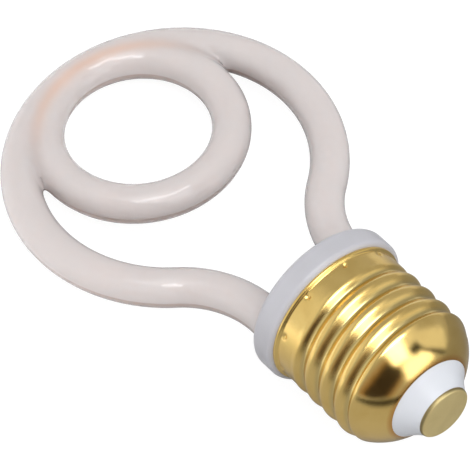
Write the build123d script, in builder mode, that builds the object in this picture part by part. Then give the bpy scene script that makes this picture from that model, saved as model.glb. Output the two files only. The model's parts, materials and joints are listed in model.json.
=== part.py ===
"""Decorative LED lamp on an E27 screw cap.

A milky tube, moulded as a pear-shaped loop with a ring inside it, stands on a white collar in a
brass cap that holds the driver board. Heights run along the lamp's axis, from the face of the
centre contact towards the crown of the loop. The lamp lies as it comes to rest, on the crown of
its loop and the edge of its collar.
"""

import os
from math import asin, atan2, ceil, cos, degrees, hypot, radians, sin, sqrt, tan

from build123d import *

os.makedirs("parts", exist_ok=True)

# Milky tube
tube_diameter = 6.7
loop_radius = 26.1
neck_bend_radius = 18.9
leg_spacing = 18.0
leg_straight = 1.85
ring_radius = 15.9
ring_inset = 0.3

# Collar
collar_diameter = 28.2
collar_height = 4.65
collar_rounding = 1.2
collar_lower_rounding = 0.9
socket_depth = 2.9
socket_clearance = 0.05
plug_depth = 2.5
plug_wall = 2.6
plug_clearance = 0.05

# Screw shell
shell_wall = 0.4
shell_length = 22.95
band_diameter = 25.5
band_height = 3.8
rim_diameter = 26.5
rim_lip = 0.35
rim_flare = 0.5
nose_opening = 15.4
nose_arc_radius = 12.0
nose_height = 5.25
shoulder_diameter = 25.4
shoulder_run = 0.9

# E27 screw thread, rolled round
thread_major = 26.2
thread_minor = 24.2
thread_pitch = 3.629
thread_crest_radius = 1.025
flank_angle = 62.0
crest_flats = 3
thread_start = 1.45
thread_end = 1.2
thread_sink = 0.2
groove_ends = 0.03

# Base insulator and centre contact
insulator_height = 3.45
insulator_inner_height = 2.4
insulator_flank_radius = 14.0
insulator_lip = 1.3
insulator_clearance = 0.05
rivet_clearance = 0.05
contact_diameter = 9.8
contact_rise = 1.0
contact_edge = 0.8
rivet_diameter = 2.4
rivet_bore = 1.4
rivet_head_diameter = 3.8
rivet_head_height = 0.4

# Driver board and what it carries
board_width = 20.0
board_thickness = 1.0
board_gap = 0.8
board_slot_depth = 1.9
board_clearance = 0.1
board_margin = 1.0
capacitor_diameter = 6.3
capacitor_length = 8.0
capacitor_chamfer = 0.5
capacitor_side = -5.4
rectifier_length = 4.7
rectifier_width = 4.0
rectifier_height = 2.4
chip_length = 4.9
chip_width = 3.9
chip_height = 1.5
package_chamfer = 0.3
package_side = 5.2
resistor_diameter = 2.4
resistor_length = 6.0
resistor_gap = 0.6
wire_diameter = 0.7
wire_hole_clearance = 0.2
wire_end_gap = 0.02
wire_lap = 2.6

# Radii and heights that follow
tube_radius = tube_diameter / 2
leg_offset = leg_spacing / 2
collar_radius = collar_diameter / 2
major_radius = thread_major / 2
minor_radius = thread_minor / 2
band_radius = band_diameter / 2
rim_radius = rim_diameter / 2
shoulder_radius = shoulder_diameter / 2
opening_radius = nose_opening / 2
plug_radius = band_radius - shell_wall - plug_clearance
contact_radius = contact_diameter / 2
wire_radius = wire_diameter / 2
shell_edge = contact_rise + insulator_height
shell_rim = shell_edge + shell_length
shoulder = shell_edge + nose_height
band_foot = shell_rim - band_height
thread_foot = shoulder + thread_start
thread_run = band_foot - thread_end - thread_foot
plug_foot = shell_rim - plug_depth
collar_top = shell_rim + collar_height
leg_end = collar_top - socket_depth
neck_radius = opening_radius - shell_wall - insulator_clearance
rivet_radius = rivet_diameter / 2
rivet_hole_radius = rivet_radius + rivet_clearance
insulator_top = shell_edge + insulator_inner_height
rivet_top = insulator_top + rivet_head_height
resistor_foot = rivet_top + resistor_gap
board_foot = resistor_foot + resistor_length + board_gap
board_head = plug_foot + board_slot_depth
board_length = board_head - board_foot
board_front = -wire_radius
board_back = board_front - board_thickness
package_foot = board_foot + board_margin
bend_start = collar_top + leg_straight
bend_side = leg_offset + neck_bend_radius
loop_centre = bend_start + sqrt((loop_radius + neck_bend_radius) ** 2 - bend_side**2)
neck_turn = degrees(atan2(loop_centre - bend_start, bend_side))
crown = loop_centre + loop_radius
ring_centre = crown - ring_inset - ring_radius

# Section of the rolled thread, outwards from its root
flank = radians(flank_angle)
crest_centre = major_radius - thread_crest_radius - minor_radius
crest_end = crest_centre + thread_crest_radius * cos(flank)
crest_side = thread_crest_radius * sin(flank)
ridge_side = crest_side + (crest_end + thread_sink) / tan(flank)
crest_step = 2 * flank / crest_flats
crest_angles = [-flank + step * crest_step for step in range(crest_flats + 1)]
crest_points = [
    (crest_centre + thread_crest_radius * cos(angle), thread_crest_radius * sin(angle))
    for angle in crest_angles
]
groove_top = major_radius - shell_wall - minor_radius
groove_bottom = -shell_wall - thread_sink
groove_side = crest_side - shell_wall / sin(flank)
groove_top_side = groove_side + (crest_end - groove_top) / tan(flank)
groove_bottom_side = groove_side + (crest_end - groove_bottom) / tan(flank)

# Rest: the floor touches the crown of the tube and the rounded upper edge of the collar
seat_run = crown - collar_top + collar_rounding
seat_drop = collar_radius - collar_rounding
seat_reach = hypot(seat_run, seat_drop)
tilt = atan2(seat_drop, seat_run) - asin((tube_radius - collar_rounding) / seat_reach)
nose_reach = (contact_radius - contact_edge) * sin(tilt) + contact_edge * (1 - cos(tilt))
contact_x = (crown * cos(tilt) + tube_radius - nose_reach) / 2
contact_z = tube_radius + crown * sin(tilt)

# Plane of the loop (x: height, y: sideways), and the plane across the lamp at the contact's face
contact_point = Vector(contact_x, 0, contact_z)
to_crown = Vector(-cos(tilt), 0, -sin(tilt))
loop_normal = Vector(-sin(tilt), 0, cos(tilt))
lamp = Plane(contact_point, x_dir=to_crown, z_dir=loop_normal)
across = Plane(contact_point, x_dir=lamp.y_dir, z_dir=to_crown)
lamp_axis = Axis(contact_point, to_crown)
board_normal = Axis(contact_point, loop_normal)


def lamp_axis_at(height):
    """Point on the lamp's axis at a height above the contact's face."""
    return contact_point + to_crown * height


def thread_section(path):
    """Plane across the thread where its path starts, x outwards from the lamp's axis."""
    start = path @ 0
    on_axis = lamp_axis_at((start - contact_point).dot(to_crown))
    return Plane(start, x_dir=start - on_axis, z_dir=path % 0)


def shell_profile(inset):
    """Half section of the screw shell down to the lamp's axis, set in by a wall."""
    with BuildSketch(lamp) as profile:
        with BuildLine():
            nose = RadiusArc(
                (shell_edge, opening_radius - inset),
                (shoulder, shoulder_radius - inset),
                nose_arc_radius,
            )
            Polyline(
                nose @ 1,
                (shoulder + shoulder_run, minor_radius - inset),
                (band_foot - shoulder_run, minor_radius - inset),
                (band_foot, band_radius - inset),
                (shell_rim - rim_lip - rim_flare, band_radius - inset),
                (shell_rim - rim_lip, rim_radius - inset),
                (shell_rim, rim_radius - inset),
                (shell_rim, 0),
                (shell_edge, 0),
                nose @ 0,
            )
        make_face()
    return profile.sketch


def thread_stretches(end_share):
    """The right-hand helix of the thread in stretches of about a turn, short of each end by a share."""
    with BuildLine() as thread_path:
        Helix(thread_pitch, thread_run, minor_radius, lamp_axis_at(thread_foot), to_crown)
    turns = ceil(thread_run / thread_pitch)
    share = (1 - 2 * end_share) / turns
    starts = [end_share + turn * share for turn in range(turns)]
    return [thread_path.edge().trim(start, start + share) for start in starts]


# The milky tube: legs, necks and loop in one sweep, with the ring grown into the crown
with BuildPart() as glow_tube:
    with BuildLine(lamp) as loop_path:
        Line((leg_end, leg_offset), (bend_start, leg_offset))
        CenterArc((bend_start, bend_side), neck_bend_radius, -90, neck_turn)
        CenterArc((loop_centre, 0), loop_radius, 90 + neck_turn, -90 - neck_turn)
        mirror(about=Plane.XZ)
    with BuildSketch(across.offset(leg_end)):
        with Locations((leg_offset, 0)):
            Circle(tube_radius)
    sweep(path=loop_path.wire())
    with BuildSketch(across.offset(ring_centre)):
        with Locations((ring_radius, 0)):
            Circle(tube_radius)
    revolve(axis=Axis(lamp.from_local_coords((ring_centre, 0, 0)), loop_normal))

glow_tube.part.label = "glow_tube"
export_step(glow_tube.part, "parts/glow_tube.step")


# The collar: a flange over the shell's rim, with two sockets for the legs and a plug below it
with BuildPart() as collar:
    with BuildSketch(across.offset(shell_rim)):
        Circle(collar_radius)
    extrude(amount=collar_height)
    fillet(collar.edges().sort_by(lamp_axis)[-1], collar_rounding)
    fillet(collar.edges().sort_by(lamp_axis)[0], collar_lower_rounding)
    with BuildSketch(across.offset(shell_rim)):
        Circle(plug_radius)
        Circle(plug_radius - plug_wall, mode=Mode.SUBTRACT)
    extrude(amount=-plug_depth)
    with BuildSketch(across.offset(collar_top)):
        with Locations((leg_offset, 0), (-leg_offset, 0)):
            Circle(tube_radius + socket_clearance)
    extrude(amount=-socket_depth, mode=Mode.SUBTRACT)
    with BuildSketch(across.offset(leg_end)):
        with Locations((leg_offset, 0), (-leg_offset, 0)):
            Circle(wire_radius + wire_hole_clearance)
    extrude(amount=shell_rim - leg_end, mode=Mode.SUBTRACT)
    with BuildSketch(across.offset(plug_foot)):
        with Locations((0, board_front - board_thickness / 2)):
            Rectangle(board_width + 2 * board_clearance, board_thickness + 2 * board_clearance)
    extrude(amount=board_slot_depth, mode=Mode.SUBTRACT)

collar.part.label = "collar"
export_step(collar.part, "parts/collar.step")


# The space inside the screw shell, with the hollow back of the rolled thread
with BuildPart() as shell_space:
    revolve(shell_profile(shell_wall), lamp_axis)
    for stretch in thread_stretches(groove_ends):
        with BuildSketch(thread_section(stretch)):
            with BuildLine():
                Polyline(
                    (groove_top, groove_top_side),
                    (groove_bottom, groove_bottom_side),
                    (groove_bottom, -groove_bottom_side),
                    (groove_top, -groove_top_side),
                    close=True,
                )
            make_face()
        sweep(path=stretch, is_frenet=True)


# The screw shell: one thin wall from the nose to the rim, its thread a helix with a round crest
with BuildPart() as screw_shell:
    revolve(shell_profile(0), lamp_axis)
    for stretch in thread_stretches(0):
        with BuildSketch(thread_section(stretch)):
            with BuildLine():
                Polyline(
                    *crest_points,
                    (-thread_sink, ridge_side),
                    (-thread_sink, -ridge_side),
                    close=True,
                )
            make_face()
        sweep(path=stretch, is_frenet=True)
    add(shell_space.part, mode=Mode.SUBTRACT)

screw_shell.part.label = "screw_shell"
export_step(screw_shell.part, "parts/screw_shell.step")


# The base insulator: a cone with a hollow flank, a neck in the shell's opening and a lip inside
with BuildPart() as base_insulator:
    with BuildSketch(lamp):
        with BuildLine():
            flank_line = RadiusArc(
                (contact_rise, contact_radius),
                (shell_edge, opening_radius),
                -insulator_flank_radius,
            )
            Polyline(
                flank_line @ 1,
                (shell_edge, neck_radius),
                (shell_edge + shell_wall, neck_radius),
                (insulator_top, neck_radius + insulator_lip),
                (insulator_top, rivet_hole_radius),
                (contact_rise, rivet_hole_radius),
                flank_line @ 0,
            )
        make_face()
    revolve(axis=lamp_axis)

base_insulator.part.label = "base_insulator"
export_step(base_insulator.part, "parts/base_insulator.step")


# The centre contact: a disc with a rounded edge on a hollow rivet, spread open inside the cap
with BuildPart() as centre_contact:
    with BuildSketch(lamp):
        with BuildLine():
            Polyline(
                (0, 0),
                (0, contact_radius),
                (contact_rise, contact_radius),
                (contact_rise, rivet_radius),
                (insulator_top, rivet_radius),
                (insulator_top, rivet_head_diameter / 2),
                (rivet_top, rivet_head_diameter / 2),
                (rivet_top, rivet_bore / 2),
                (contact_rise, rivet_bore / 2),
                (contact_rise, 0),
                close=True,
            )
        make_face()
    revolve(axis=lamp_axis)
    fillet(centre_contact.edges().filter_by(GeomType.CIRCLE).sort_by(lamp_axis)[0], contact_edge)

centre_contact.part.label = "centre_contact"
export_step(centre_contact.part, "parts/centre_contact.step")


# The driver board, held in the slot of the plug
with BuildPart() as driver_board:
    with BuildSketch(lamp.offset(board_front)):
        with Locations(((board_foot + board_head) / 2, 0)):
            Rectangle(board_length, board_width)
    extrude(amount=-board_thickness)

driver_board.part.label = "driver_board"
export_step(driver_board.part, "parts/driver_board.step")


# The smoothing capacitor, lying on the front of the board along the lamp
with BuildPart() as smoothing_capacitor:
    with BuildSketch(across.offset(package_foot)):
        with Locations((capacitor_side, board_front + capacitor_diameter / 2)):
            Circle(capacitor_diameter / 2)
    extrude(amount=capacitor_length)
    chamfer(smoothing_capacitor.edges().filter_by(GeomType.CIRCLE), capacitor_chamfer)

smoothing_capacitor.part.label = "smoothing_capacitor"
export_step(smoothing_capacitor.part, "parts/smoothing_capacitor.step")


# The rectifier beside the capacitor, and the regulator chip on the back of the board
with BuildPart() as rectifier:
    with BuildSketch(lamp.offset(board_front)):
        with Locations((package_foot + rectifier_length / 2, package_side)):
            Rectangle(rectifier_length, rectifier_width)
    extrude(amount=rectifier_height)
    chamfer(rectifier.faces().sort_by(board_normal)[-1].edges(), package_chamfer)

rectifier.part.label = "rectifier"
export_step(rectifier.part, "parts/rectifier.step")

with BuildPart() as driver_chip:
    with BuildSketch(lamp.offset(board_back)):
        with Locations((package_foot + chip_length / 2, package_side)):
            Rectangle(chip_length, chip_width)
    extrude(amount=-chip_height)
    chamfer(driver_chip.faces().sort_by(board_normal)[0].edges(), package_chamfer)

driver_chip.part.label = "driver_chip"
export_step(driver_chip.part, "parts/driver_chip.step")


# The fuse resistor on the lamp's axis, one lead down the rivet and the other along the board
with BuildPart() as fuse_resistor:
    with BuildSketch(across.offset(resistor_foot)):
        Circle(resistor_diameter / 2)
    extrude(amount=resistor_length)
    with BuildSketch(across.offset(contact_rise)):
        Circle(wire_radius)
    extrude(amount=board_foot + wire_lap - contact_rise)

fuse_resistor.part.label = "fuse_resistor"
export_step(fuse_resistor.part, "parts/fuse_resistor.step")


# The neutral lead, from the board straight to the bare inside of the shell below the plug
with BuildPart() as neutral_lead:
    with BuildSketch(lamp.offset(board_front)):
        with Locations(((band_foot + plug_foot) / 2, 0)):
            Circle(wire_radius)
    extrude(amount=band_radius - shell_wall - wire_end_gap - board_front)

neutral_lead.part.label = "neutral_lead"
export_step(neutral_lead.part, "parts/neutral_lead.step")


# The leads of the LED strip, from the ends of the tube through the collar and along the board
for name, side in (("tube_lead_left", leg_offset), ("tube_lead_right", -leg_offset)):
    with BuildPart() as tube_lead:
        with BuildSketch(across.offset(leg_end)):
            with Locations((side, 0)):
                Circle(wire_radius)
        extrude(amount=board_head - wire_lap - leg_end)
    tube_lead.part.label = name
    export_step(tube_lead.part, f"parts/{name}.step")
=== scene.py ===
"""Looks of the decorative LED lamp: milky loop and ring, white collar, brass screw cap.

Every piece is made in the lamp's own coordinates: x is the height along the lamp's axis, from the
face of the centre contact towards the crown, y runs sideways in the plane of the loop and z out of it.
"""

import json
from math import atan2, cos, pi, radians, sin, sqrt

import bmesh
import bpy
import numpy as np
from mathutils import Matrix, Vector


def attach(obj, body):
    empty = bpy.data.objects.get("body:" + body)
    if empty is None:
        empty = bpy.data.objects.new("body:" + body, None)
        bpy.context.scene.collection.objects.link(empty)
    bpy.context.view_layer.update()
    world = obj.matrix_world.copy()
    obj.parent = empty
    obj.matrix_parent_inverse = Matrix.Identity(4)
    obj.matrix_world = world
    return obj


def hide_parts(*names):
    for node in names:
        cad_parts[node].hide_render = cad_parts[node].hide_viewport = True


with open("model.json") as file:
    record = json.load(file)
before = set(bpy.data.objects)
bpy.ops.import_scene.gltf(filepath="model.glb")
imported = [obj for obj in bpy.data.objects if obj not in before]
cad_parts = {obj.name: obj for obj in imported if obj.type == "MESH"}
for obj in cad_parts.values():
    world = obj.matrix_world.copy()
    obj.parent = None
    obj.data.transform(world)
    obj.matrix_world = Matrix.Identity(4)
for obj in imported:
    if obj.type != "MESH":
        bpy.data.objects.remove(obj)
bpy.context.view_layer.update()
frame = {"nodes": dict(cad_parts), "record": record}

MM = 0.001

# Sizes in millimetres: milky tube
TUBE_RADIUS = 3.35
LOOP_RADIUS = 26.1
NECK_BEND_RADIUS = 18.9
LEG_OFFSET = 9.0
LEG_STRAIGHT = 1.85
RING_RADIUS = 15.9
RING_INSET = 0.3
CREASE_SOFTNESS = 1.8
CREASE_PER_GAP = 0.32
# Painted warm glow of light bounced in the crease at the crown: inset from the middle, width, and reach
# along it
CREASE_GLOW_INSET = 0.5
CREASE_GLOW_WIDTH = 1.1
CREASE_GLOW_REACH = 4.0
TUBE_GRID = 0.42
NECK_STEPS = 24
LOOP_STEPS = 80
RING_STEPS = 120
SETTLING_ROUNDS = 6
SLOPE_STEP = 0.01
LEAST_SLOPE = 0.05
LEAST_CREASE = 0.01

# Collar
COLLAR_RADIUS = 14.1
COLLAR_HEIGHT = 4.65
COLLAR_ROUNDING = 1.2
COLLAR_LOWER_ROUNDING = 0.9
SOCKET_DEPTH = 2.9
GLUE_GAP = 0.05
SOCKET_RADIUS = TUBE_RADIUS + GLUE_GAP
WIRE_HOLE_RADIUS = 0.55
PLUG_DEPTH = 2.5
PLUG_RADIUS = 12.3
PLUG_WALL = 2.6
SLOT_LENGTH = 20.2
SLOT_WIDTH = 1.2
SLOT_DEPTH = 1.9
SLOT_PLACE = -0.85

# Screw shell
SHELL_WALL = 0.4
SHELL_EDGE = 4.45
SHELL_RIM = 27.4
NOSE_OPENING_RADIUS = 7.7
NOSE_ARC_RADIUS = 12.0
NOSE_REACH = 3.0
SHOULDER = 9.7
SHOULDER_RADIUS = 12.7
CUP_RADIUS = 12.68
BAND_FOOT = 23.6
BAND_RADIUS = 12.78
RIM_RADIUS = 13.25
RIM_LIP = 0.35
RIM_FLARE = 0.4
THREAD_PITCH = 3.629
THREAD_DEPTH = 1.41
ROOT_ROUNDING = 0.5
RIDGE_MIDDLE = 0.412
CREST_HEIGHT = 8.43
SHOULDER_ROUNDING = 0.5
THREAD_HEAD = (21.8, 24.0)
CRIMP_COUNT = 10
CRIMP_PHASE = radians(24)
CRIMP_BELOW_RIM = 1.3
CRIMP_SIZE = 0.42
CRIMP_DEPTH = 0.3
SHELL_COLUMNS = 324
OUTSIDE_ROWS = (30, 110, 36)
INSIDE_ROWS = (10, 50, 12)

# Base insulator and centre contact
INSULATOR_FLANK_RADIUS = 14.0
CONTACT_RADIUS = 4.9
CONTACT_RISE = 1.0
CONTACT_EDGE = 0.6
CONTACT_DOME = 0.3
INSULATOR_TOP = 6.85
INSULATOR_LIP = 1.3
NECK_CLEARANCE = 0.05
RIVET_HOLE_RADIUS = 1.25
RIVET_RADIUS = 1.2
RIVET_HEAD_RADIUS = 1.9
RIVET_HEAD_HEIGHT = 0.4
RIVET_BORE_RADIUS = 0.7

# Turned and cut pieces: steps round the axis, how far cutters reach past a face, sharp edges in degrees
TURNING_STEPS = 180
FACE_STEPS = 16
CUT_PAST = 1.0
SHARP_EDGE = 35
SHARP_SHELL_EDGE = 50

# Heights of the loop, as they follow
COLLAR_TOP = SHELL_RIM + COLLAR_HEIGHT
LEG_END = COLLAR_TOP - SOCKET_DEPTH
BEND_START = COLLAR_TOP + LEG_STRAIGHT
BEND_SIDE = LEG_OFFSET + NECK_BEND_RADIUS
LOOP_CENTRE = BEND_START + sqrt((LOOP_RADIUS + NECK_BEND_RADIUS) ** 2 - BEND_SIDE**2)
NECK_TURN = atan2(LOOP_CENTRE - BEND_START, BEND_SIDE)
RING_CENTRE = LOOP_CENTRE + LOOP_RADIUS - RING_INSET - RING_RADIUS

# The lamp's axis, from the contact's mount
contact_mount = next(m for m in frame["record"]["mounts"] if m["name"] == "contact_face")
to_crown = -Vector(contact_mount["axis"]).normalized()
sideways = Vector((0, -1, 0))
loop_normal = to_crown.cross(sideways)
lamp_frame = Matrix((to_crown, sideways, loop_normal)).transposed().to_4x4()
lamp_frame.translation = Vector(contact_mount["pos_m"])


def lamp_piece(name, mesh, node, material):
    """A mesh in the lamp's coordinates, in millimetres, as the piece that stands for a CAD node."""
    mesh.transform(Matrix.Diagonal((MM, MM, MM, 1)))
    piece = bpy.data.objects.new(name, mesh)
    bpy.context.scene.collection.objects.link(piece)
    piece.matrix_world = lamp_frame
    mesh.materials.clear()
    mesh.materials.append(material)
    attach(piece, "root")
    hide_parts(node)


def smooth_by_angle(mesh, degrees):
    """Smooth shading, with edges sharper than an angle kept sharp."""
    mesh.shade_smooth()
    mesh.set_sharp_from_angle(angle=radians(degrees))


# Shader helpers


def node(tree, kind, inputs={}, **settings):
    """A shader node with its settings, its input values and its links."""
    made = tree.nodes.new("ShaderNode" + kind)
    for name, value in settings.items():
        setattr(made, name, value)
    for name, value in inputs.items():
        if isinstance(value, bpy.types.NodeSocket):
            tree.links.new(value, made.inputs[name])
        else:
            made.inputs[name].default_value = value
    return made


def mixed(tree, share, first, second):
    """Colour between two, by a share."""
    made = tree.nodes.new("ShaderNodeMix")
    made.data_type = "RGBA"
    for socket, value in zip((made.inputs[0], made.inputs[6], made.inputs[7]), (share, first, second)):
        if isinstance(value, bpy.types.NodeSocket):
            tree.links.new(value, socket)
        else:
            socket.default_value = value
    return made.outputs[2]


def between(tree, value, low, high):
    """A 0 to 1 value mapped into a range."""
    return node(tree, "MapRange", {"Value": value, "To Min": low, "To Max": high}).outputs["Result"]


def rise(tree, value, start, end, interpolation="LINEAR"):
    """0 where a value is at its start, 1 where it is at its end."""
    limits = {"Value": value, "From Min": start, "From Max": end}
    return node(tree, "MapRange", limits, interpolation_type=interpolation).outputs["Result"]


def reckon(tree, operation, *values):
    """Result of a sum on one, two or three values."""
    return node(tree, "Math", dict(enumerate(values)), operation=operation).outputs[0]


def noise(tree, place, scale, detail):
    """Soft noise at a place."""
    return node(tree, "TexNoise", {"Vector": place, "Scale": scale, "Detail": detail}).outputs["Fac"]


def new_group(name, inputs, outputs):
    """An empty shader group with named float and vector inputs and float or colour outputs."""
    group = bpy.data.node_groups.new(name, "ShaderNodeTree")
    for socket, kind, value in inputs:
        made = group.interface.new_socket(socket, in_out="INPUT", socket_type="NodeSocket" + kind)
        if value is not None:
            made.default_value = value
    for socket, kind in outputs:
        group.interface.new_socket(socket, in_out="OUTPUT", socket_type="NodeSocket" + kind)
    return group, group.nodes.new("NodeGroupInput").outputs, group.nodes.new("NodeGroupOutput").inputs


def placed(tree, group, inputs={}):
    """A shader group in a material, read at the lamp's own coordinates."""
    made = node(tree, "Group", node_tree=group)
    place = node(tree, "TexCoord").outputs["Object"]
    tree.links.new(place, made.inputs["Place"])
    for name, value in inputs.items():
        made.inputs[name].default_value = value
    return made.outputs


# Edges: the values where an effect starts and where it is full
SPECKS_PER_METRE = 170.0
SPECK_EDGE = (0.035, 0.02)
UNSPECKED_SHARE = 0.86
GRAIN_HEIGHT = 0.02
TARNISH_EDGE = (0.42, 0.72)


def moulded_unevenness():
    """Faint waves, mottling, specks and fine grain of a moulded surface."""
    group, given, result = new_group(
        "moulded unevenness",
        [("Place", "Vector", None), ("Waves", "Float", 110.0), ("Grain", "Float", 2500.0)],
        [("Mottle", "Float"), ("Height", "Float"), ("Specks", "Float")],
    )
    place = given["Place"]
    waves = noise(group, place, given["Waves"], detail=2.0)
    grain = noise(group, place, given["Grain"], detail=3.0)
    cells = node(group, "TexVoronoi", {"Vector": place, "Scale": SPECKS_PER_METRE}).outputs
    chosen = reckon(group, "GREATER_THAN", cells["Color"], UNSPECKED_SHARE)
    specks = reckon(group, "MULTIPLY", rise(group, cells["Distance"], *SPECK_EDGE), chosen)
    height = reckon(group, "ADD", waves, reckon(group, "MULTIPLY", grain, GRAIN_HEIGHT))
    for name, value in (("Mottle", waves), ("Height", height), ("Specks", specks)):
        group.links.new(value, result[name])
    return group


def worked_brass():
    """Tarnish clouds and fine rolling lines round the lamp's axis; the place along and off that axis."""
    group, given, result = new_group(
        "worked brass",
        [("Place", "Vector", None), ("Clouds", "Float", 160.0), ("Lines", "Float", 5200.0)],
        [("Tarnish", "Float"), ("Line", "Float"), ("Along", "Float"), ("Radius", "Float")],
    )
    place = given["Place"]
    clouds = noise(group, place, given["Clouds"], detail=6.0)
    part = node(group, "SeparateXYZ", {"Vector": place}).outputs
    off_axis = node(group, "CombineXYZ", {"X": part["Y"], "Y": part["Z"]}).outputs[0]
    radius = node(group, "VectorMath", {0: off_axis}, operation="LENGTH").outputs["Value"]
    round_axis = node(group, "CombineXYZ", {"X": part["X"], "Y": radius, "Z": clouds}).outputs[0]
    lines = noise(group, round_axis, given["Lines"], detail=2.0)
    tarnish = rise(group, clouds, *TARNISH_EDGE)
    for name, value in (("Tarnish", tarnish), ("Line", lines), ("Along", part["X"]), ("Radius", radius)):
        group.links.new(value, result[name])
    return group


unevenness = moulded_unevenness()
brass_working = worked_brass()


def new_material(name):
    """A node material and its shader."""
    material = bpy.data.materials.new(name)
    material.use_nodes = True
    return material, material.node_tree, material.node_tree.nodes["Principled BSDF"]


def set_shader(shader, **values):
    """Values on the shader's own sockets; an underscore stands for a space."""
    for name, value in values.items():
        shader.inputs[name.replace("_", " ")].default_value = value


def bumped(tree, shader, height, distance, strength):
    """Bump from a height, in metres, on a shader."""
    bump = node(tree, "Bump", {"Height": height, "Distance": distance, "Strength": strength})
    tree.links.new(bump.outputs["Normal"], shader.inputs["Normal"])


def finished(tree, shader, color, roughness):
    """Links a colour and a roughness to a shader."""
    tree.links.new(color, shader.inputs["Base Color"])
    tree.links.new(roughness, shader.inputs["Roughness"])


# Tones of the tube, with painted shade below its seam and painted grey shade seen edge-on; the seam's blur
# in metres, and how far edge-on that grey starts and is full
MILK_TONES = ((0.555, 0.507, 0.498, 1), (0.54, 0.511, 0.508, 1))
# Painted warm glow of light bounced in the crown's crease
CREASE_GLOW_TONE = (0.59, 0.455, 0.395, 1)
MILK_SHADE_BELOW_SEAM = (0.43, 0.36, 0.335, 1)
SPECK_TONE = (0.33, 0.29, 0.28, 1)
MILK_EDGE_SHADE = (0.39, 0.375, 0.38, 1)
SEAM_BLUR = 0.06 * MM
EDGE_SHADE_FACING = (0.58, 0.9)


def milky_silicone():
    """Milky tube: pinkish grey, with a painted warm glow of bounced light in the crown's crease, painted
    shade below its seam and painted grey shade where seen edge-on.
    """
    material, tree, shader = new_material("milky silicone")
    surface = placed(tree, unevenness, {"Waves": 175.0})
    painted_crease_glow = node(tree, "Attribute", attribute_name="painted_crease_glow").outputs["Fac"]
    place = node(tree, "SeparateXYZ", {"Vector": node(tree, "TexCoord").outputs["Object"]}).outputs
    # the lower half, below the seam, gets painted shade
    shade_below_seam = rise(tree, place["Z"], SEAM_BLUR, -SEAM_BLUR)
    facing = node(tree, "LayerWeight", {"Blend": 0.5}).outputs["Facing"]
    painted_edge_shade = rise(tree, facing, *EDGE_SHADE_FACING)
    color = mixed(tree, surface["Mottle"], *MILK_TONES)
    # painted warm glow of bounced light along the crease at the crown
    color = mixed(tree, painted_crease_glow, color, CREASE_GLOW_TONE)
    # painted shade on the downward-facing lower half, below the seam
    color = mixed(tree, shade_below_seam, color, MILK_SHADE_BELOW_SEAM)
    color = mixed(tree, surface["Specks"], color, SPECK_TONE)
    # painted grey shade at the edges seen edge-on, standing for darker surroundings reflected there
    color = mixed(tree, painted_edge_shade, color, MILK_EDGE_SHADE)
    finished(tree, shader, color, roughness=between(tree, surface["Mottle"], low=0.06, high=0.13))
    tree.links.new(between(tree, painted_edge_shade, low=0.5, high=0.2), shader.inputs["Specular IOR Level"])
    bumped(tree, shader, surface["Height"], distance=0.0009, strength=0.5)
    set_shader(
        shader,
        Subsurface_Weight=1.0,
        Subsurface_Radius=(1.0, 0.9, 0.85),
        Subsurface_Scale=0.006,
        IOR=1.45,
    )
    return material


# Tones of the shell, the root tone being painted shade in the thread's roots; where each starts and is
# full, in metres along the lamp's axis or off it
SHELL_TONES = ((0.92, 0.66, 0.235, 1), (0.80, 0.55, 0.17, 1))
ROOT_SHADE_TONE = (0.70, 0.54, 0.22, 1)
NOSE_LIP_TONE = (0.72, 0.40, 0.12, 1)
NOSE_LIP = (0.0050, 0.0046)
THREAD_ROOT = (0.0125, 0.01215)
THREADED = (0.0095, 0.0105)
ROLLED = (0.0085, 0.0105)
LINE_ROUGHNESS = 0.12


def shell_brass():
    """Brass, polished on the nose and rolled above it, with painted shade in the thread's roots and a
    darker orange tint at the nose's lip.
    """
    material, tree, shader = new_material("shell brass")
    surface = placed(tree, brass_working)
    along = surface["Along"]
    # painted shade in the thread's roots
    deep = rise(tree, surface["Radius"], *THREAD_ROOT)
    root = reckon(tree, "MULTIPLY", deep, rise(tree, along, *THREADED))
    color = mixed(tree, surface["Tarnish"], *SHELL_TONES)
    color = mixed(tree, root, color, ROOT_SHADE_TONE)
    color = mixed(tree, rise(tree, along, *NOSE_LIP), color, NOSE_LIP_TONE)
    rolled = between(tree, rise(tree, along, *ROLLED, "SMOOTHSTEP"), low=0.06, high=0.17)
    rough = reckon(tree, "MULTIPLY_ADD", surface["Line"], LINE_ROUGHNESS, rolled)
    finished(tree, shader, color, roughness=rough)
    bumped(tree, shader, surface["Line"], distance=0.00001, strength=0.3)
    set_shader(shader, Metallic=1.0)
    return material


# Tones of the contact; where its painted edge shade, the shadowed gap against the insulator, starts and is
# full, in metres off the lamp's axis
CONTACT_TONES = ((0.95, 0.79, 0.40, 1), (0.90, 0.74, 0.36, 1))
CONTACT_EDGE_SHADE_TONE = (0.34, 0.27, 0.13, 1)
CONTACT_EDGE_SHADE = (0.00465, 0.00485)


def contact_brass():
    """Satin brass of the centre contact, with faint turning lines and painted shade along its edge."""
    material, tree, shader = new_material("contact brass")
    surface = placed(tree, brass_working, {"Clouds": 300.0, "Lines": 6500.0})
    color = mixed(tree, surface["Tarnish"], *CONTACT_TONES)
    # painted shade along the edge, where the contact meets the insulator
    color = mixed(tree, rise(tree, surface["Radius"], *CONTACT_EDGE_SHADE), color, CONTACT_EDGE_SHADE_TONE)
    finished(tree, shader, color, roughness=between(tree, surface["Line"], low=0.50, high=0.53))
    bumped(tree, shader, surface["Line"], distance=0.000004, strength=0.2)
    set_shader(shader, Metallic=1.0)
    return material


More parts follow.
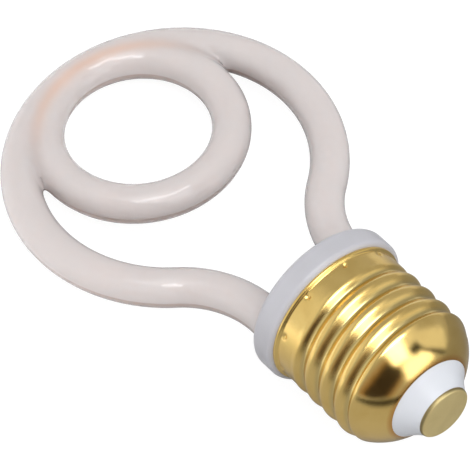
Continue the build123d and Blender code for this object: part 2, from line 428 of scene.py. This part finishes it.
def moulded_finish(name, tones, gloss, waves=700.0, grain=6000.0, bump=(0.0002, 0.3), **values):
    """Plain finish: two close tones, roughness between two values and a faint bump (distance, strength)."""
    material, tree, shader = new_material(name)
    surface = placed(tree, unevenness, {"Waves": waves, "Grain": grain})
    color = mixed(tree, surface["Mottle"], *tones)
    finished(tree, shader, color, roughness=between(tree, surface["Mottle"], *gloss))
    bumped(tree, shader, surface["Height"], *bump)
    set_shader(shader, **values)
    return material


def collar_plastic():
    """Satin bluish-white plastic."""
    return moulded_finish(
        "collar plastic",
        tones=((0.43, 0.425, 0.455, 1), (0.48, 0.48, 0.51, 1)),
        gloss=(0.34, 0.46),
        waves=180.0,
        grain=3200.0,
        bump=(0.0005, 0.2),
        Subsurface_Weight=0.35,
        Subsurface_Radius=(0.8, 0.85, 1.0),
        Subsurface_Scale=0.0015,
    )


def insulator_white():
    """Smooth bluish-white insulator."""
    return moulded_finish(
        "insulator white",
        tones=((0.575, 0.595, 0.635, 1), (0.61, 0.63, 0.67, 1)),
        gloss=(0.25, 0.35),
        waves=260.0,
        grain=4000.0,
        bump=(0.0003, 0.2),
        Subsurface_Weight=0.2,
        Subsurface_Radius=(0.8, 0.9, 1.0),
        Subsurface_Scale=0.001,
    )


# Milky tube


def smooth_union(first, second, softness):
    """Distance to two surfaces grown together, with a soft crease between them."""
    share = np.clip(0.5 + 0.5 * (second - first) / softness, 0, 1)
    return second + (first - second) * share - softness * share * (1 - share)


def tube_distances(points):
    """Distances to the surfaces of the loop and the ring, and the gap between their middles there."""
    height, side, out = points[:, 0], np.abs(points[:, 1]), points[:, 2]
    leg = np.where(height < BEND_START, np.abs(side - LEG_OFFSET), np.inf)
    neck_angle = np.arctan2(height - BEND_START, BEND_SIDE - side)
    on_neck = (neck_angle >= 0) & (neck_angle <= NECK_TURN)
    neck = np.abs(np.hypot(height - BEND_START, side - BEND_SIDE) - NECK_BEND_RADIUS)
    loop_angle = np.arctan2(LOOP_CENTRE - height, side)
    loop = np.hypot(height - LOOP_CENTRE, side) - LOOP_RADIUS
    in_plane = np.minimum(leg, np.where(on_neck, neck, np.inf))
    in_plane = np.minimum(in_plane, np.where(loop_angle <= NECK_TURN, np.abs(loop), np.inf))
    ring = np.hypot(height - RING_CENTRE, side) - RING_RADIUS
    gap = np.abs(ring - loop)
    return np.hypot(in_plane, out) - TUBE_RADIUS, np.hypot(ring, out) - TUBE_RADIUS, gap


def tube_surface(points):
    """Distance to the whole milky tube; the crease is soft only where loop and ring are apart."""
    loop, ring, gap = tube_distances(points)
    return smooth_union(loop, ring, np.clip(CREASE_PER_GAP * gap, LEAST_CREASE, CREASE_SOFTNESS))


def bent_tube(name, path, closed):
    """A round tube along points in the loop's plane, as a mesh object."""
    curve = bpy.data.curves.new(name, "CURVE")
    curve.dimensions = "3D"
    curve.bevel_depth = TUBE_RADIUS
    curve.bevel_resolution = 10
    curve.use_fill_caps = True
    spline = curve.splines.new("POLY")
    spline.points.add(len(path) - 1)
    for point, (height, side) in zip(spline.points, path):
        point.co = (height, side, 0, 1)
    spline.use_cyclic_u = closed
    return bpy.data.objects.new(name, curve)


def arc(centre, radius, start, end, steps):
    """Points of an arc about a point (height, side), angles measured from the height's direction."""
    angles = np.linspace(start, end, steps)
    return [(centre[0] + radius * cos(a), centre[1] + radius * sin(a)) for a in angles]


def glow_tube_mesh():
    """The loop and the ring, grown into one body at the crown."""
    half = [(LEG_END, LEG_OFFSET)]
    half += arc((BEND_START, BEND_SIDE), NECK_BEND_RADIUS, -pi / 2, NECK_TURN - pi / 2, NECK_STEPS)
    half += arc((LOOP_CENTRE, 0), LOOP_RADIUS, pi / 2 + NECK_TURN, 0, LOOP_STEPS)[1:]
    path = half + [(height, -side) for height, side in half[-2::-1]]
    ring = arc((RING_CENTRE, 0), RING_RADIUS, 0, 2 * pi, RING_STEPS + 1)[:-1]
    scene = bpy.context.scene
    curves = [bent_tube("loop form", path, False), bent_tube("ring form", ring, True)]
    form = bmesh.new()
    for curve in curves:
        scene.collection.objects.link(curve)
        bpy.context.view_layer.update()
        mesh = bpy.data.meshes.new_from_object(curve.evaluated_get(bpy.context.evaluated_depsgraph_get()))
        form.from_mesh(mesh)
        bpy.data.meshes.remove(mesh)
        bpy.data.objects.remove(curve)
    grown = bpy.data.objects.new("tube form", as_mesh(form, "rough tube"))
    scene.collection.objects.link(grown)
    remesh = grown.modifiers.new("grown together", "REMESH")
    remesh.mode = "VOXEL"
    remesh.voxel_size = TUBE_GRID
    bpy.context.view_layer.update()
    joined = bpy.data.meshes.new_from_object(grown.evaluated_get(bpy.context.evaluated_depsgraph_get()))
    bpy.data.objects.remove(grown)
    settle_on_surface(joined)
    joined.name = "milky_tube"
    return joined


def settle_on_surface(mesh):
    """Moves the points of the rough tube onto its true surface, and marks a painted warm glow of bounced
    light along the crown's crease.
    """
    points = np.empty(len(mesh.vertices) * 3)
    mesh.vertices.foreach_get("co", points)
    points = points.reshape(-1, 3)
    free = points[:, 0] > LEG_END + 2 * TUBE_GRID
    for _ in range(SETTLING_ROUNDS):
        moving = points[free]
        distance = tube_surface(moving)
        slope = np.empty_like(moving)
        for axis in range(3):
            shift = np.zeros(3)
            shift[axis] = SLOPE_STEP
            slope[:, axis] = tube_surface(moving + shift) - tube_surface(moving - shift)
        slope /= 2 * SLOPE_STEP
        slope /= np.maximum((slope**2).sum(1), LEAST_SLOPE)[:, None]
        points[free] = moving - slope * distance[:, None]
    mesh.vertices.foreach_set("co", points.ravel())
    height, side = points[:, 0], points[:, 1]
    from_ring = np.hypot(height - RING_CENTRE, side) - RING_RADIUS
    from_loop = np.hypot(height - LOOP_CENTRE, side) - LOOP_RADIUS
    # painted warm glow of light bounced in the crease between loop and ring
    off_middle = (from_ring + from_loop) / 2 + CREASE_GLOW_INSET
    apart = from_ring - from_loop
    painted_crease_glow = np.exp(-((off_middle / CREASE_GLOW_WIDTH) ** 2) - (apart / CREASE_GLOW_REACH) ** 2)
    mesh.attributes.new("painted_crease_glow", "FLOAT", "POINT").data.foreach_set("value", painted_crease_glow.astype(np.float32))
    mesh.shade_smooth()
    mesh.update()


# Screw shell


def ease(value, low, high):
    """Smooth rise from 0 at low to 1 at high."""
    share = np.clip((value - low) / (high - low), 0, 1)
    return share * share * (3 - 2 * share)


def nose_radius(height):
    """Radius of the domed nose: an arc from the opening to the shoulder."""
    chord = np.array([SHOULDER - SHELL_EDGE, SHOULDER_RADIUS - NOSE_OPENING_RADIUS])
    length = np.hypot(*chord)
    middle = np.array([SHELL_EDGE, NOSE_OPENING_RADIUS]) + chord / 2
    inwards = np.array([chord[1], -chord[0]]) / length
    centre = middle + inwards * sqrt(NOSE_ARC_RADIUS**2 - (length / 2) ** 2)
    return centre[1] + np.sqrt(np.maximum(NOSE_ARC_RADIUS**2 - (height - centre[0]) ** 2, 0))


def shell_radius(height, angle):
    """Outer radius of the screw shell at a height and an angle from the sideways direction."""
    cup = CUP_RADIUS + (BAND_RADIUS - CUP_RADIUS) * ease(height, *THREAD_HEAD)
    turns = (height - CREST_HEIGHT) / THREAD_PITCH - angle / (2 * pi)
    ridge = np.sqrt(np.cos(pi * turns) ** 2 + ROOT_ROUNDING**2) - ROOT_ROUNDING
    cup = cup + THREAD_DEPTH * (ridge - RIDGE_MIDDLE) * (1 - ease(height, *THREAD_HEAD))
    cup = smooth_union(nose_radius(np.minimum(height, SHOULDER + NOSE_REACH)), cup, SHOULDER_ROUNDING)
    lip = SHELL_RIM - RIM_LIP
    flare = (RIM_RADIUS - BAND_RADIUS) * ease(height, lip - RIM_FLARE, lip)
    spacing = 2 * pi / CRIMP_COUNT
    around = (angle - CRIMP_PHASE + spacing / 2) % spacing - spacing / 2
    far = np.hypot(around * BAND_RADIUS, height - (SHELL_RIM - CRIMP_BELOW_RIM)) / CRIMP_SIZE
    crimp = CRIMP_DEPTH * np.exp(-far**2)
    return cup + flare - crimp


def shell_mesh():
    """The thin brass wall: its outside, the rim, its inside and the edge of the nose, closed all round."""
    nose, thread, band = OUTSIDE_ROWS
    outside = np.concatenate([
        np.linspace(SHELL_EDGE, SHOULDER, nose)[:-1],
        np.linspace(SHOULDER, BAND_FOOT, thread)[:-1],
        np.linspace(BAND_FOOT, SHELL_RIM, band),
    ])
    band, thread, nose = INSIDE_ROWS
    inside = np.concatenate([
        np.linspace(SHELL_RIM, BAND_FOOT, band)[:-1],
        np.linspace(BAND_FOOT, SHOULDER, thread)[:-1],
        np.linspace(SHOULDER, SHELL_EDGE, nose),
    ])
    angles = np.linspace(0, 2 * pi, SHELL_COLUMNS, endpoint=False)
    heights = np.concatenate([outside, inside])
    inset = np.concatenate([np.zeros(len(outside)), np.full(len(inside), SHELL_WALL)])
    rows = [shell_radius(np.full(SHELL_COLUMNS, h), angles) - i for h, i in zip(heights, inset)]
    return ring_grid("screw_shell_wall", heights, np.array(rows), angles)


def ring_grid(name, heights, radii, angles):
    """A closed mesh of rows about the lamp's axis, each row a ring; the last row joins the first."""
    rows, around = radii.shape
    points = np.stack([
        np.repeat(heights[:, None], around, 1),
        radii * np.cos(angles),
        radii * np.sin(angles),
    ], axis=-1).reshape(-1, 3)
    row, column = np.meshgrid(np.arange(rows), np.arange(around), indexing="ij")
    next_row, next_column = (row + 1) % rows, (column + 1) % around
    faces = np.stack([
        row * around + column,
        row * around + next_column,
        next_row * around + next_column,
        next_row * around + column,
    ], axis=-1).reshape(-1, 4)
    mesh = bpy.data.meshes.new(name)
    mesh.from_pydata(points.tolist(), [], faces.tolist())
    smooth_by_angle(mesh, SHARP_SHELL_EDGE)
    return mesh


# Turned pieces


def as_mesh(form, name):
    """A finished form as a mesh."""
    mesh = bpy.data.meshes.new(name)
    form.to_mesh(mesh)
    form.free()
    return mesh


def turned(name, profile):
    """A profile of (height, radius) points turned round the lamp's axis."""
    form = bmesh.new()
    points = [form.verts.new((height, radius, 0)) for height, radius in profile]
    edges = [form.edges.new(pair) for pair in zip(points, points[1:])]
    bmesh.ops.spin(
        form,
        geom=points + edges,
        cent=(0, 0, 0),
        axis=(1, 0, 0),
        angle=2 * pi,
        steps=TURNING_STEPS,
        use_merge=True,
    )
    bmesh.ops.remove_doubles(form, verts=form.verts, dist=1e-4)
    bmesh.ops.recalc_face_normals(form, faces=form.faces)
    mesh = as_mesh(form, name)
    smooth_by_angle(mesh, SHARP_EDGE)
    return mesh


def fillet(corner, radius, start, end, steps=6):
    """Arc points about the centre of a rounded corner."""
    angles = np.linspace(radians(start), radians(end), steps)
    return [(corner[0] + radius * cos(a), corner[1] + radius * sin(a)) for a in angles]


def post(name, place, radius, low, high):
    """A round post along the lamp's axis direction at a sideways place."""
    form = bmesh.new()
    bmesh.ops.create_cone(
        form, cap_ends=True, segments=64, radius1=radius, radius2=radius, depth=high - low,
        matrix=Matrix.Translation(((low + high) / 2, place, 0)) @ Matrix.Rotation(pi / 2, 4, "Y"),
    )
    return as_mesh(form, name)


def block(name, low, high):
    """A box between two corners."""
    form = bmesh.new()
    bmesh.ops.create_cube(form, size=1.0)
    for vertex in form.verts:
        vertex.co = [l + (h - l) * (c + 0.5) for l, h, c in zip(low, high, vertex.co)]
    return as_mesh(form, name)


def cut(mesh, tools):
    """A mesh with other meshes cut out of it."""
    scene = bpy.context.scene
    body = bpy.data.objects.new("body to cut", mesh)
    scene.collection.objects.link(body)
    cutters = []
    for tool in tools:
        cutter = bpy.data.objects.new("cutter", tool)
        scene.collection.objects.link(cutter)
        cutters.append(cutter)
        difference = body.modifiers.new("cut", "BOOLEAN")
        difference.operation = "DIFFERENCE"
        difference.solver = "EXACT"
        difference.object = cutter
    bpy.context.view_layer.update()
    result = bpy.data.meshes.new_from_object(body.evaluated_get(bpy.context.evaluated_depsgraph_get()))
    result.name = mesh.name + "_cut"
    for made in [body] + cutters:
        bpy.data.objects.remove(made)
    smooth_by_angle(result, SHARP_EDGE)
    return result


def collar_mesh():
    """Round-edged flange over a hollow plug; sockets for the legs, wire holes, a slot for the board."""
    top, low = COLLAR_ROUNDING, COLLAR_LOWER_ROUNDING
    profile = [(COLLAR_TOP, 0)]
    profile += fillet((COLLAR_TOP - top, COLLAR_RADIUS - top), top, 0, 90, 11)
    profile += fillet((SHELL_RIM + low, COLLAR_RADIUS - low), low, 90, 180, 9)
    profile += [
        (SHELL_RIM, PLUG_RADIUS),
        (SHELL_RIM - PLUG_DEPTH, PLUG_RADIUS),
        (SHELL_RIM - PLUG_DEPTH, PLUG_RADIUS - PLUG_WALL),
        (SHELL_RIM, PLUG_RADIUS - PLUG_WALL),
        (SHELL_RIM, 0),
    ]
    plug_foot = SHELL_RIM - PLUG_DEPTH
    tools = [
        block(
            "board slot",
            (plug_foot - CUT_PAST, -SLOT_LENGTH / 2, SLOT_PLACE - SLOT_WIDTH / 2),
            (plug_foot + SLOT_DEPTH, SLOT_LENGTH / 2, SLOT_PLACE + SLOT_WIDTH / 2),
        )
    ]
    for side in (LEG_OFFSET, -LEG_OFFSET):
        tools.append(post("leg socket", side, SOCKET_RADIUS, LEG_END, COLLAR_TOP + CUT_PAST))
        tools.append(post("wire hole", side, WIRE_HOLE_RADIUS, SHELL_RIM - CUT_PAST, LEG_END + CUT_PAST))
    return cut(turned("collar_flange", profile), tools)


def insulator_mesh():
    """Hollow-flanked cone with a neck in the shell's opening and a lip inside it."""
    start, end = (CONTACT_RISE, CONTACT_RADIUS), (SHELL_EDGE, NOSE_OPENING_RADIUS)
    chord = np.subtract(end, start)
    length = np.hypot(*chord)
    sag = INSULATOR_FLANK_RADIUS - sqrt(INSULATOR_FLANK_RADIUS**2 - length**2 / 4)
    inwards = np.array([chord[1], -chord[0]]) / length
    flank = [tuple(start + chord * t + inwards * sag * 4 * t * (1 - t)) for t in np.linspace(0, 1, 12)]
    neck = NOSE_OPENING_RADIUS - SHELL_WALL - NECK_CLEARANCE
    profile = [(CONTACT_RISE, RIVET_HOLE_RADIUS)] + flank
    profile += [
        (SHELL_EDGE, neck),
        (SHELL_EDGE + SHELL_WALL, neck),
        (INSULATOR_TOP, neck + INSULATOR_LIP),
        (INSULATOR_TOP, RIVET_HOLE_RADIUS),
        (CONTACT_RISE, RIVET_HOLE_RADIUS),
    ]
    return turned("insulator_cone", profile)


def contact_mesh():
    """Slightly domed disc with a rounded edge on a hollow rivet that is spread inside the cap."""
    flat = CONTACT_RADIUS - CONTACT_EDGE
    face = [(CONTACT_DOME * (radius / flat) ** 2, radius) for radius in np.linspace(0, flat, FACE_STEPS)]
    edge = fillet((CONTACT_DOME + CONTACT_EDGE, flat), CONTACT_EDGE, 172, 90, 8)
    rivet_top = INSULATOR_TOP + RIVET_HEAD_HEIGHT
    profile = face[:-1] + edge + [
        (CONTACT_RISE, CONTACT_RADIUS),
        (CONTACT_RISE, RIVET_RADIUS),
        (INSULATOR_TOP, RIVET_RADIUS),
        (INSULATOR_TOP, RIVET_HEAD_RADIUS),
        (rivet_top, RIVET_HEAD_RADIUS),
        (rivet_top, RIVET_BORE_RADIUS),
        (CONTACT_RISE, RIVET_BORE_RADIUS),
        (CONTACT_RISE, 0),
    ]
    return turned("contact_disc", profile)


lamp_piece("milky_tube", glow_tube_mesh(), "glow_tube", milky_silicone())
lamp_piece("collar_flange", collar_mesh(), "collar", collar_plastic())
lamp_piece("shell_wall", shell_mesh(), "screw_shell", shell_brass())
lamp_piece("insulator_cone", insulator_mesh(), "base_insulator", insulator_white())
lamp_piece("contact_disc", contact_mesh(), "centre_contact", contact_brass())

board_laminate = moulded_finish(
    "board laminate", tones=((0.02, 0.13, 0.05, 1), (0.04, 0.19, 0.08, 1)), gloss=(0.35, 0.55)
)
capacitor_sleeve = moulded_finish(
    "capacitor sleeve", tones=((0.01, 0.012, 0.03, 1), (0.02, 0.022, 0.045, 1)), gloss=(0.2, 0.3)
)
black_package = moulded_finish(
    "black package", tones=((0.012, 0.012, 0.013, 1), (0.022, 0.022, 0.024, 1)), gloss=(0.5, 0.65)
)
resistor_coat = moulded_finish(
    "resistor coat", tones=((0.24, 0.38, 0.44, 1), (0.3, 0.44, 0.5, 1)), gloss=(0.4, 0.55)
)
tinned_wire = moulded_finish(
    "tinned wire", tones=((0.55, 0.55, 0.54, 1), (0.66, 0.66, 0.64, 1)), gloss=(0.25, 0.4), Metallic=1.0
)
inside_finishes = {
    "driver_board": board_laminate,
    "smoothing_capacitor": capacitor_sleeve,
    "rectifier": black_package,
    "driver_chip": black_package,
    "fuse_resistor": resistor_coat,
    "neutral_lead": tinned_wire,
    "tube_lead_left": tinned_wire,
    "tube_lead_right": tinned_wire,
}
for inner, finish in inside_finishes.items():
    frame["nodes"][inner].material_slots[0].material = finish


# Studio

# The camera fitted to the photo, in the lamp's coordinates and millimetres
CAMERA_PLACE = Vector((-266.2, 228.09, 494.56))
CAMERA_RIGHT = Vector((-0.63384, -0.77161, -0.05352))
CAMERA_UP = Vector((0.58709, -0.525, 0.6162))
FOCAL_PIXELS = 3800
PHOTO_WIDTH = 470
SENSOR_WIDTH = 36

FLOOR_HALF = 3.0
FLOOR_GREY = (0.14, 0.14, 0.14, 1)
FLOOR_GLOW = 0.93
# How much of its light the floor gives back to the lamp, with the lamp's own shadow and a dark spot painted
# on: start and end in metres, share at each
FLOOR_SHADOW_ALONG = (0.03, -0.03, 0.36, 0.95)
FLOOR_SHADOW_ACROSS = (0.04, -0.02, 0.6, 1.0)
FLOOR_SHADE_ROUND_SPOT = (0.17, 0.23, 0.1, 1.0)
# Middle of the painted shade spot on the floor, in metres
FLOOR_SHADE_SPOT = (0.30, -0.16, 0)

FILL_WIDTH = 1.6
FILL_HEIGHT = 0.35
FILL_DISTANCE = 0.8
FILL_ELEVATION = 8
# Each: name, azimuth, brightness
SIDE_FILLS = [
    ("front fill", 42, 1.6),
    ("left fill", -48, 0.7),
    ("right fill", 132, 0.7),
    ("back fill", -138, 0.4),
]

ROOM_BRIGHTNESS = 0.45
HORIZON_GUARD = 0.02
# Each: facing azimuth and elevation, roll, middle and half size across, and up, soft edge, brightness
ROOM_PANELS = [
    ((-40, 15), 0, 0, 0.9, 0, 0.7, 0.6, 0.8),  # pale wall
    ((0, 90), 0, 0.5, 0.9, 0.35, 0.35, 0.6, 0.9),  # pale ceiling
    ((54, 21), -33, 0, 0.42, -0.04, 0.6, 0.24, (0.34, 0.22, 0.12)),  # brown edge of the dark side
    ((56, 22), -33, 0, 0.29, -0.06, 0.5, 0.06, (0.045, 0.035, 0.03)),  # dark side
    ((107, 26), 0, 0, 0.36, 0, 0.25, 0.1, 2.0),  # bright window
    ((146, 26), 22, 0, 0.22, 0, 0.42, 0.08, 0.8),  # paler window
    ((132, 17), 22, 0, 0.04, 0, 0.38, 0.04, 0.06),  # post between the windows
    ((119, 43), 0, 0, 0.13, 0, 0.13, 0.06, 0.03),  # dark fitting above the post
    ((0, 90), 0, 0.4, 0.7, -0.07, 0.27, 0.14, 3.0),  # bright ceiling panel
    ((0, 90), 0, 0.16, 0.1, -0.06, 0.37, 0.06, 9.0),  # bar of light
]


def heading(azimuth, elevation):
    """Direction from the lamp; azimuth 0 is towards -Y and 90 towards +X, in degrees."""
    a, e = radians(azimuth), radians(elevation)
    return Vector((sin(a) * cos(e), -cos(a) * cos(e), sin(e)))


def add_camera():
    """Camera at the photo's viewing angle, placed in the lamp's coordinates."""
    lens = bpy.data.cameras.new("camera")
    lens.sensor_width = SENSOR_WIDTH
    lens.lens = SENSOR_WIDTH * FOCAL_PIXELS / PHOTO_WIDTH
    camera = bpy.data.objects.new("camera", lens)
    back = CAMERA_RIGHT.cross(CAMERA_UP)
    turn = Matrix((CAMERA_RIGHT, CAMERA_UP, back)).transposed().to_4x4()
    turn.translation = CAMERA_PLACE * MM
    camera.matrix_world = lamp_frame @ turn
    bpy.context.scene.collection.objects.link(camera)
    bpy.context.scene.camera = camera


def add_floor():
    """Plain pale floor, nearly shadowless to the camera; the lamp sees it greyer, with its own shadow and a
    dark spot painted on.
    """
    mesh = bpy.data.meshes.new("floor")
    corners = [(x * FLOOR_HALF, y * FLOOR_HALF, 0) for x, y in ((-1, -1), (1, -1), (1, 1), (-1, 1))]
    mesh.from_pydata(corners, [], [(0, 1, 2, 3)])
    floor = bpy.data.objects.new("floor", mesh)
    bpy.context.scene.collection.objects.link(floor)
    material, tree, shader = new_material("pale floor")
    seen = node(tree, "LightPath").outputs["Is Camera Ray"]
    place = node(tree, "TexCoord").outputs["Object"]
    spot = node(tree, "SeparateXYZ", {"Vector": place}).outputs
    from_shade_spot = node(tree, "VectorMath", {0: place, 1: FLOOR_SHADE_SPOT}, operation="DISTANCE").outputs["Value"]
    painted_floor_light = 1.0
    # painted shadow round the lamp and a painted shade spot, seen only by the lamp
    for value, (start, end, low, high) in (
        (spot["X"], FLOOR_SHADOW_ALONG),
        (spot["Y"], FLOOR_SHADOW_ACROSS),
        (from_shade_spot, FLOOR_SHADE_ROUND_SPOT),
    ):
        share = between(tree, rise(tree, value, start, end, "SMOOTHSTEP"), low, high)
        painted_floor_light = reckon(tree, "MULTIPLY", painted_floor_light, share)
    bounce = mixed(tree, painted_floor_light, (0, 0, 0, 1), (1, 1, 1, 1))
    tree.links.new(mixed(tree, seen, bounce, FLOOR_GREY), shader.inputs["Base Color"])
    tree.links.new(between(tree, seen, 0, FLOOR_GLOW), shader.inputs["Emission Strength"])
    set_shader(shader, Emission_Color=(1, 1, 1, 1), Roughness=1.0, Specular_IOR_Level=0.0)
    mesh.materials.append(material)


def add_fill(name, azimuth, brightness):
    """Low wide soft light that brightens the sides of the milky tube and shows in no reflection."""
    lamp = bpy.data.lights.new(name, "AREA")
    lamp.shape = "RECTANGLE"
    lamp.size, lamp.size_y = FILL_WIDTH, FILL_HEIGHT
    lamp.energy = brightness * pi * FILL_WIDTH * FILL_HEIGHT
    fill = bpy.data.objects.new(name, lamp)
    towards = heading(azimuth, FILL_ELEVATION)
    turn = towards.to_track_quat("Z", "Y").to_matrix().to_4x4()
    fill.matrix_world = Matrix.Translation(towards * FILL_DISTANCE) @ turn
    fill.visible_glossy = False
    bpy.context.scene.collection.objects.link(fill)


def room_panel(tree, direction, facing, roll, across_mid, across_half, up_mid, up_half, soft):
    """Share of a soft-edged flat panel round the lamp, its sizes per unit of its distance."""
    a, e, turn = radians(facing[0]), radians(facing[1]), radians(roll)
    level = Vector((cos(a), sin(a), 0))
    upright = Vector((-sin(a) * sin(e), cos(a) * sin(e), cos(e)))
    right = level * cos(turn) + upright * sin(turn)
    up = upright * cos(turn) - level * sin(turn)
    ahead = node(tree, "VectorMath", {0: direction, 1: heading(*facing)}, operation="DOT_PRODUCT")
    ahead = reckon(tree, "MAXIMUM", ahead.outputs["Value"], HORIZON_GUARD)
    share = 1.0
    for axis, mid, half in ((right, across_mid, across_half), (up, up_mid, up_half)):
        along = node(tree, "VectorMath", {0: direction, 1: axis}, operation="DOT_PRODUCT").outputs["Value"]
        place = reckon(tree, "DIVIDE", along, ahead)
        off_middle = reckon(tree, "ABSOLUTE", reckon(tree, "SUBTRACT", place, mid))
        inside = rise(tree, off_middle, half + soft / 2, half - soft / 2, "SMOOTHSTEP")
        share = reckon(tree, "MULTIPLY", share, inside)
    return share


def add_room():
    """Studio room: soft light panels, darker furniture and the dark side where the view comes from."""
    world = bpy.data.worlds.new("studio")
    bpy.context.scene.world = world
    world.use_nodes = True
    tree = world.node_tree
    direction = node(tree, "TexCoord").outputs["Generated"]
    color = (ROOM_BRIGHTNESS, ROOM_BRIGHTNESS, ROOM_BRIGHTNESS, 1)
    for *panel, brightness in ROOM_PANELS:
        tone = brightness if isinstance(brightness, tuple) else (brightness, brightness, brightness)
        color = mixed(tree, room_panel(tree, direction, *panel), color, (*tone, 1))
    tree.links.new(color, tree.nodes["Background"].inputs["Color"])


add_camera()
add_floor()
add_room()
for fill in SIDE_FILLS:
    add_fill(*fill)
bpy.context.scene.view_settings.view_transform = "Standard"
